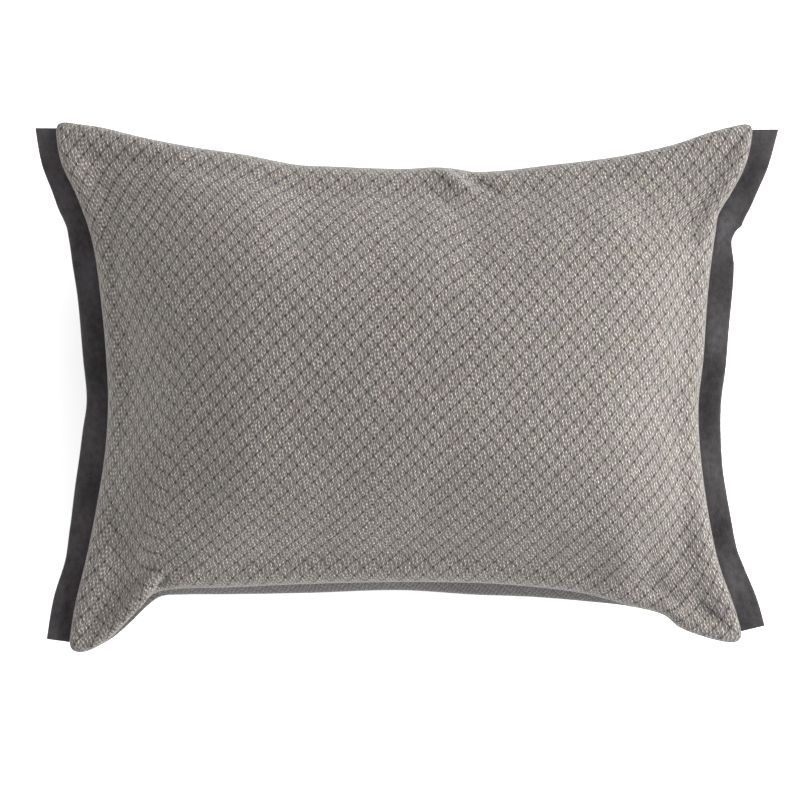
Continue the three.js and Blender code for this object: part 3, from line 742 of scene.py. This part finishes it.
def woven_face(name, painted_shade, diamonds):
    """Marled yarn in steep twilled floats, with a lattice of diamonds where darker yarn shows."""
    look = Look(name)
    spot = look.vector("ADD", look.spot(), CLOTH_START)
    drift = look.noise(spot, 60, detail=1, out="Color")
    drift = look.vector("SUBTRACT", drift, (0.5, 0.5, 0.5))
    drift = look.scaled_colour(drift, 0.5 * MM)
    x, y, _ = look.split(look.vector("ADD", spot, drift))
    yarns = look.math("DIVIDE", x, YARN)
    floats = look.math("DIVIDE", y, FLOAT_LENGTH)

    def wave(per_yarn, per_float):
        turns = look.math("MULTIPLY_ADD", yarns, per_yarn, look.math("MULTIPLY", floats, per_float))
        return look.math("COSINE", look.math("MULTIPLY", turns, 2 * math.pi / 3))

    ribs = look.math("MULTIPLY_ADD", wave(1, -2), 0.4, wave(1, 1))
    ribs = look.math("MULTIPLY_ADD", wave(2, -1), 0.6, ribs)
    ribs = look.math("MULTIPLY_ADD", wave(2, 2), 0.4, ribs)
    ribs = look.math("MULTIPLY_ADD", wave(4 / 3, 0), 0.5, ribs)

    column = look.math("FLOOR", yarns)
    slip = look.chance(look.join(column, 3.0, 1.0))
    dash = look.math("FLOOR", look.math("ADD", look.math("DIVIDE", y, DASH), slip))
    marl = look.chance(look.join(column, dash, 1.0))
    tint = look.chance(look.join(column, dash, 5.0))
    side = look.math("MODULO", look.math("ADD", column, dash), 2)
    side = look.math("MULTIPLY_ADD", side, 2, -1)
    fleck = look.math("MULTIPLY", side, look.math("ADD", marl, 0.2))
    hairs = look.noise(look.join(look.math("MULTIPLY", x, 1.6), y, 0.2), 1500, detail=0)

    wide = look.math("DIVIDE", look.math("ADD", column, 0.5), 12)
    tall = look.math("DIVIDE", y, DIAMOND_HEIGHT)
    falling = look.math("PINGPONG", look.math("ADD", wide, tall), 0.5)
    rising = look.math("PINGPONG", look.math("SUBTRACT", wide, tall), 0.5)
    line = look.math("MINIMUM", look.math("ADD", falling, 0.012), rising)
    lattice = look.between(line, 0.02, 0.11, 1.0, 0.0)
    knots = look.between(look.math("MAXIMUM", rising, falling), 0.05, 0.15, 1.0, 0.0)

    light = look.math("MULTIPLY_ADD", marl, MARL, 1 - MARL / 2)
    light = look.math("MULTIPLY", light, look.math("MULTIPLY_ADD", fleck, 0.38, 1.0))
    light = look.math("MULTIPLY", light, look.math("MULTIPLY_ADD", hairs, HAIRS, 1 - HAIRS / 2))
    light = look.math("MULTIPLY", light, look.math("MULTIPLY_ADD", ribs, RIBS, 1.0))
    open_lattice = look.math("MULTIPLY_ADD", lattice, -LATTICE * diamonds, 1.0)
    light = look.math("MULTIPLY", light, open_lattice)
    light = look.math("MULTIPLY", light, look.math("MULTIPLY_ADD", knots, -KNOTS * diamonds, 1.0))
    # painted shade: the whole cloth darkened by the given share
    light = look.math("MULTIPLY", look.math("MAXIMUM", light, 0.08), painted_shade)
    # painted shade: darker towards the seams
    light = look.math("MULTIPLY", light, painted_seam_shade(look))
    tone = look.noise(spot, 70, detail=2)
    tone = look.between(tone, 0.35, 0.65, -0.25, 0.75)
    tone = look.math("MULTIPLY_ADD", tint, 0.5, tone, clamp=True)
    colour = look.scaled_colour(look.mix(tone, (*ROSY, 1), (*OLIVE, 1)), light)

    height = look.math("MULTIPLY", ribs, 0.10 * MM)
    height = look.math("ADD", height, look.math("MULTIPLY", marl, 0.08 * MM))
    height = look.math("ADD", height, look.math("MULTIPLY", hairs, 0.14 * MM))
    height = look.math("ADD", height, look.math("MULTIPLY", lattice, -0.30 * MM))
    height = look.math("ADD", height, look.math("MULTIPLY", knots, -0.30 * MM))
    normal = look.bump(height, strength=0.95)
    rough = look.math("MULTIPLY_ADD", marl, 0.12, 0.82)
    look.shader.inputs["Sheen Roughness"].default_value = 0.5
    return look.finish(Base_Color=colour, Roughness=rough, Normal=normal, Sheen_Weight=0.12,
                       Specular_IOR_Level=0.25)


SUEDE_FOLD = (ROLL + FLANGE_TUCK + FLANGE_WIDTH + (SUEDE + SUEDE_GAP)) * MM  # where it turns back


def suede():
    """Brushed nap that lies in patches, a little paler along its fold."""
    look = Look("suede")
    spot = look.spot()
    x, y, _ = look.split(spot)
    nap = look.noise(look.join(look.math("MULTIPLY", x, 1.3), y), 160, detail=5, roughness=0.7)
    fibre = look.noise(spot, 1100, detail=2, roughness=0.7)
    brushed = look.noise(look.join(look.math("MULTIPLY", x, 2.5), y, 3.0), 26, detail=2)
    light = look.between(nap, 0.3, 0.7, 0.62, 1.2)
    light = look.math("ADD", light, look.between(brushed, 0.35, 0.65, -0.14, 0.2))
    light = look.math("MULTIPLY", light, look.math("MULTIPLY_ADD", fibre, 0.7, 0.65))
    from_fold = look.math("ABSOLUTE", look.math("SUBTRACT", x, SUEDE_FOLD))
    # a little paler within a millimetre or two of the fold
    paler_at_fold = look.between(from_fold, 0.2 * MM, 1.6 * MM, 0.5, 0.0)
    light = look.math("ADD", light, paler_at_fold)
    colour = look.scaled_colour((0.0245, 0.0222, 0.0240, 1), light)
    height = look.math("MULTIPLY", nap, 0.7 * MM)
    height = look.math("MULTIPLY_ADD", fibre, 0.14 * MM, height)
    look.shader.inputs["Sheen Roughness"].default_value = 0.4
    return look.finish(Base_Color=colour, Roughness=0.88, Normal=look.bump(height, 0.8),
                       Sheen_Weight=0.12, Specular_IOR_Level=0.2)


def twisted_thread():
    """Two-ply polyester: a twist along the seam, with a little fuzz."""
    look = Look("thread")
    x, y, z = look.split(look.place())
    turns = look.math("ADD", look.math("ADD", x, y), look.math("MULTIPLY", z, 2.2))
    ply = look.math("SINE", look.math("MULTIPLY", turns, 2 * math.pi / (0.9 * MM)))
    fuzz = look.noise(look.place(), 2500, detail=2)
    light = look.math("MULTIPLY_ADD", ply, 0.12, 0.8)
    light = look.math("MULTIPLY", light, look.math("MULTIPLY_ADD", fuzz, 0.4, 0.8))
    colour = look.scaled_colour(grey(0.12, 0.02), light)
    height = look.math("MULTIPLY", ply, 0.12 * MM)
    return look.finish(Base_Color=colour, Roughness=0.7, Normal=look.bump(height), Sheen_Weight=0.2)


def woven_tape():
    """Fine twill of the zip's tapes."""
    look = Look("zip_tape")
    x, _, z = look.split(look.place())
    across = look.math("MULTIPLY", x, 1 / (0.7 * MM))
    up = look.math("MULTIPLY", z, 1 / (0.7 * MM))
    rib = look.math("SINE", look.math("MULTIPLY", look.math("ADD", across, up), 2 * math.pi))
    counter = look.math("SINE", look.math("MULTIPLY", look.math("SUBTRACT", across, up), math.pi))
    fuzz = look.noise(look.place(), 1500, detail=2)
    light = look.math("MULTIPLY_ADD", rib, 0.14, look.math("MULTIPLY_ADD", counter, 0.08, 0.7))
    light = look.math("MULTIPLY", light, look.math("MULTIPLY_ADD", fuzz, 0.4, 0.8))
    colour = look.scaled_colour(grey(0.08, 0.01), light)
    return look.finish(Base_Color=colour, Roughness=0.85, Sheen_Weight=0.2,
                       Normal=look.bump(look.math("MULTIPLY", rib, 0.1 * MM)))


def nylon_coil():
    """Turns of a nylon coil, with an uneven shine."""
    look = Look("zip_coil")
    x, _, _ = look.split(look.place())
    turn = look.math("SINE", look.math("MULTIPLY", x, 2 * math.pi / (1.1 * MM)))
    cloud = look.noise(look.place(), 300, detail=2)
    colour = look.scaled_colour(grey(0.075, 0.01), look.math("MULTIPLY_ADD", turn, 0.25, 0.85))
    rough = look.math("MULTIPLY_ADD", cloud, 0.2, 0.28)
    return look.finish(Base_Color=colour, Roughness=rough,
                       Normal=look.bump(look.math("MULTIPLY", turn, 0.3 * MM)))


def zip_metal():
    """Brushed zinc, scratched and worn in places."""
    look = Look("zip_metal")
    place = look.place()
    scratches = look.noise(look.vector("MULTIPLY", place, (1, 9, 9)), 900, detail=3)
    worn = look.between(look.noise(place, 500, detail=3), 0.52, 0.7)
    colour = look.mix(worn, (0.15, 0.146, 0.138, 1), (0.09, 0.086, 0.083, 1))
    rough = look.math("MULTIPLY_ADD", scratches, 0.25, 0.22)
    return look.finish(Base_Color=colour, Metallic=1.0, Roughness=rough,
                       Normal=look.bump(look.math("MULTIPLY", scratches, 0.02 * MM)))


def insert_cloth():
    """Plain off-white cotton with slubs."""
    look = Look("ticking")
    x, y, _ = look.split(look.place())
    warp = look.math("SINE", look.math("MULTIPLY", x, 2 * math.pi / (0.5 * MM)))
    weft = look.math("SINE", look.math("MULTIPLY", y, 2 * math.pi / (0.5 * MM)))
    crossing = look.math("MULTIPLY", warp, weft)
    slubs = look.noise(look.place(), 220, detail=3)
    light = look.math("MULTIPLY_ADD", crossing, 0.04, look.math("MULTIPLY_ADD", slubs, 0.2, 0.85))
    colour = look.scaled_colour((0.34, 0.325, 0.3, 1), light)
    return look.finish(Base_Color=colour, Roughness=0.9, Sheen_Weight=0.15,
                       Normal=look.bump(look.math("MULTIPLY", crossing, 0.05 * MM)))


def fibre_fill():
    """Loose white fibre in clumps."""
    look = Look("fibre_fill")
    place = look.place()
    strands = look.noise(place, 260, detail=5, roughness=0.75)
    clumps = look.noise(place, 40, detail=3)
    light = look.math("MULTIPLY_ADD", clumps, 0.3, 0.5)
    light = look.math("MULTIPLY_ADD", strands, 0.35, light)
    colour = look.scaled_colour((0.38, 0.375, 0.36, 1), light)
    height = look.math("MULTIPLY", clumps, 4 * MM)
    height = look.math("MULTIPLY_ADD", strands, 1.5 * MM, height)
    return look.finish(Base_Color=colour, Roughness=0.95, Normal=look.bump(height), Sheen_Weight=0.3)


def floor_paint():
    """Nearly even white."""
    look = Look("floor")
    place = look.place()
    cloud = look.noise(place, 3, detail=3)
    grain = look.noise(place, 700, detail=2)
    light = look.math("MULTIPLY_ADD", cloud, 0.02, look.math("MULTIPLY_ADD", grain, 0.01, 0.97))
    colour = look.scaled_colour((0.9, 0.9, 0.9, 1), light)
    return look.finish(Base_Color=colour, Roughness=0.8)


# ---- Insert ----------------------------------------------------------------------------------

INSERT_SCALE = (0.905, 0.84, 0.93)  # the insert's ticking as a share of the cover, each way
FILL_SCALE = (0.89, 0.82, 0.90)
CORNER_FLAT = 105  # how far from a corner of the insert its stuffing thins out
CORNER_HEIGHT = 0.3  # share of its height that is left at the corner
INSERT_STEP = 2  # takes one of this many of the cover's points each way
TICKING = 0.5
INSERT_ROLL = 2.6  # radius of the ticking where it turns into its seam
INSERT_HALF_GAP = 0.5
INSERT_RINGS = 3


def inner_grid(sheet, scale, step):
    """A cover panel's points drawn in towards the middle, and flatter by the corners, with one
    kept of every few."""
    inner = sheet[::step, ::step] * scale
    corners = [inner[j, i, :2] for j in (0, -1) for i in (0, -1)]
    flatness = smoothstep(0, CORNER_FLAT, min_distance(inner[..., :2], corners))
    inner[..., 2] *= CORNER_HEIGHT + (1 - CORNER_HEIGHT) * flatness
    return inner


def insert_half(name, node, facing, sheet, material):
    """Half of the insert's ticking, from its crown to the seam plane."""
    points = inner_grid(sheet, INSERT_SCALE, INSERT_STEP)
    rim = rim_of(points.shape[1] - 1, points.shape[0] - 1)
    loop = points[rim]
    out = rim_outward(loop[:, :2])
    number = np.arange(points[..., 0].size).reshape(points.shape[:2])
    faces = grid_faces(number)
    ring, rings = number[rim], []
    top = np.abs(loop[:, 2])
    for step in range(1, INSERT_RINGS + 1):
        angle = math.pi / 2 * step / INSERT_RINGS
        level = loop[:, :2] - out * (INSERT_ROLL * (1 - math.cos(angle)))
        height = INSERT_HALF_GAP + (top - INSERT_HALF_GAP) * (1 - math.sin(angle))
        rings.append(np.column_stack([level, facing * height]))
        below = number.size + (step - 1) * len(ring) + np.arange(len(ring))
        faces.append(np.column_stack([ring, below, np.roll(below, -1), np.roll(ring, -1)]))
        ring = below
    faces = np.vstack(faces)
    if facing < 0:
        faces = faces[:, ::-1]
    placed = np.vstack([points.reshape(-1, 3), *rings]) * MM + (0, 0, SEAM_Z)
    piece = mesh_piece(name, placed, faces.tolist(), material)
    solidify = piece.modifiers.new("ticking", "SOLIDIFY")
    solidify.thickness = TICKING * MM
    solidify.offset = -1
    apply_modifiers(piece)
    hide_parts(node)
    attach(piece, "cover")
    return piece


def insert_fill(sheets, material):
    """The stuffing: one closed body inside the ticking."""
    front, back = (inner_grid(sheets[facing], FILL_SCALE, INSERT_STEP) for facing in (1, -1))
    rim = rim_of(front.shape[1] - 1, front.shape[0] - 1)
    middle = (front[rim] + back[rim]) / 2
    front[rim] = middle
    back[rim] = middle
    number = np.arange(front[..., 0].size).reshape(front.shape[:2])
    back_number = number + number.size
    back_number[rim] = number[rim]
    faces = np.vstack([grid_faces(number)[0], grid_faces(back_number)[0][:, ::-1]])
    used = np.unique(faces)
    renumber = np.zeros(2 * number.size, int)
    renumber[used] = np.arange(len(used))
    points = np.vstack([front.reshape(-1, 3), back.reshape(-1, 3)])[used]
    placed = points * MM + (0, 0, SEAM_Z)
    piece = mesh_piece("insert_stuffing", placed, renumber[faces].tolist(), material)
    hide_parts("insert_fill")
    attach(piece, "cover")
    return piece


# ---- Stage -----------------------------------------------------------------------------------

FLOOR_HALF = 4.0
FLOOR_GAP = 0.2 * MM


def floor(material):
    """The pale surface that the pillow lies on."""
    corners = [(-FLOOR_HALF, -FLOOR_HALF), (FLOOR_HALF, -FLOOR_HALF),
               (FLOOR_HALF, FLOOR_HALF), (-FLOOR_HALF, FLOOR_HALF)]
    placed = np.array([(x, y, FLOOR_Z - FLOOR_GAP) for x, y in corners])
    sheet = mesh_piece("floor", placed, [(0, 1, 2, 3)], material, smooth=False)


def plain_colours():
    """Shows the picture as a camera's own file would, with no film-like curve."""
    bpy.context.scene.view_settings.view_transform = "Standard"


VIEW_WIDTH = 0.5376  # what the picture takes in at the seam plane
VIEW_MIDDLE = (-0.004, -0.0091)
CAMERA_DISTANCE = 2.1


def camera():
    """Looks straight down on the middle of the view, as in a shot of a pillow laid flat."""
    data = bpy.data.cameras.new("camera")
    data.sensor_width = 36
    data.lens = data.sensor_width * CAMERA_DISTANCE / VIEW_WIDTH
    shot = bpy.data.objects.new("camera", data)
    shot.location = (*VIEW_MIDDLE, SEAM_Z + CAMERA_DISTANCE)
    bpy.context.scene.collection.objects.link(shot)
    bpy.context.scene.camera = shot


# Soft lamps round the pillow: bearing from the right and height above the floor in degrees,
# distance and size in metres, power in watts.
LAMPS = {
    "key": (0, 28, 2.0, (1.3, 1.1), 91),
    "right_back": (45, 28, 2.0, (1.3, 1.1), 46),
    "left_back": (135, 28, 2.0, (1.3, 1.1), 22),
    "low_left": (225, 8, 2.0, (1.3, 0.5), 24),
    "low_right": (315, 8, 2.0, (1.3, 0.5), 18),
}


def soft_lamp(name, bearing, height, distance, size, power):
    """A lamp that looks at the middle of the pillow."""
    data = bpy.data.lights.new(name, "AREA")
    data.shape = "RECTANGLE"
    data.size, data.size_y = size
    data.energy = power
    lamp = bpy.data.objects.new(name, data)
    bearing, height = math.radians(bearing), math.radians(height)
    level = math.cos(height)
    way = Vector((level * math.cos(bearing), level * math.sin(bearing), math.sin(height)))
    lamp.location = Vector((0, 0, SEAM_Z)) + distance * way
    lamp.rotation_euler = (-way).to_track_quat("-Z", "Y").to_euler()
    lamp.visible_camera = False
    bpy.context.scene.collection.objects.link(lamp)


def lights():
    """An even white room and the lamps in it."""
    world = bpy.data.worlds.new("studio")
    world.use_nodes = True
    background = world.node_tree.nodes["Background"]
    background.inputs["Color"].default_value = (1, 1, 1, 1)
    background.inputs["Strength"].default_value = 1.0
    bpy.context.scene.world = world
    for name, settings in LAMPS.items():
        soft_lamp(name, *settings)


# ---- Assembly --------------------------------------------------------------------------------


def dress(material, slot_of, *nodes):
    """Gives CAD nodes whose shape is right a better material."""
    for node in nodes:
        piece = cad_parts[node]
        piece.data.materials.clear()
        piece.data.materials.append(material)


blown = inflate()
face_cloth = woven_face("woven_front", painted_shade=1.0, diamonds=1.0)
back_cloth = woven_face("woven_back", painted_shade=BACK_PAINTED_SHADE, diamonds=0.25)
ticking = insert_cloth()
sheets = {
    1: cover_panel("cover_front", "front_panel", 1, blown, face_cloth),
    -1: cover_panel("cover_back", "back_panel", -1, blown, back_cloth),
}
leather = suede()
for side in ("left", "right"):
    flange(side, leather)
insert_half("insert_ticking_front", "insert_front_ticking", 1, sheets[1], ticking)
insert_half("insert_ticking_back", "insert_back_ticking", -1, sheets[-1], ticking)
insert_fill(sheets, fibre_fill())
dress(
    twisted_thread(), "thread", "top_seam_thread", "left_seam_thread", "right_seam_thread",
    "bottom_seam_thread_left", "bottom_seam_thread_right", "insert_seam_thread",
)
dress(woven_tape(), "zip_tape", "zip_tape_front", "zip_tape_back")
dress(nylon_coil(), "zip_coil", "zip_coil_front", "zip_coil_back")
dress(
    zip_metal(), "zip_metal", "zip_top_stop_front", "zip_top_stop_back", "zip_bottom_stop",
    "zip_slider", "zip_pull_tab",
)
floor(floor_paint())
plain_colours()
camera()
lights()
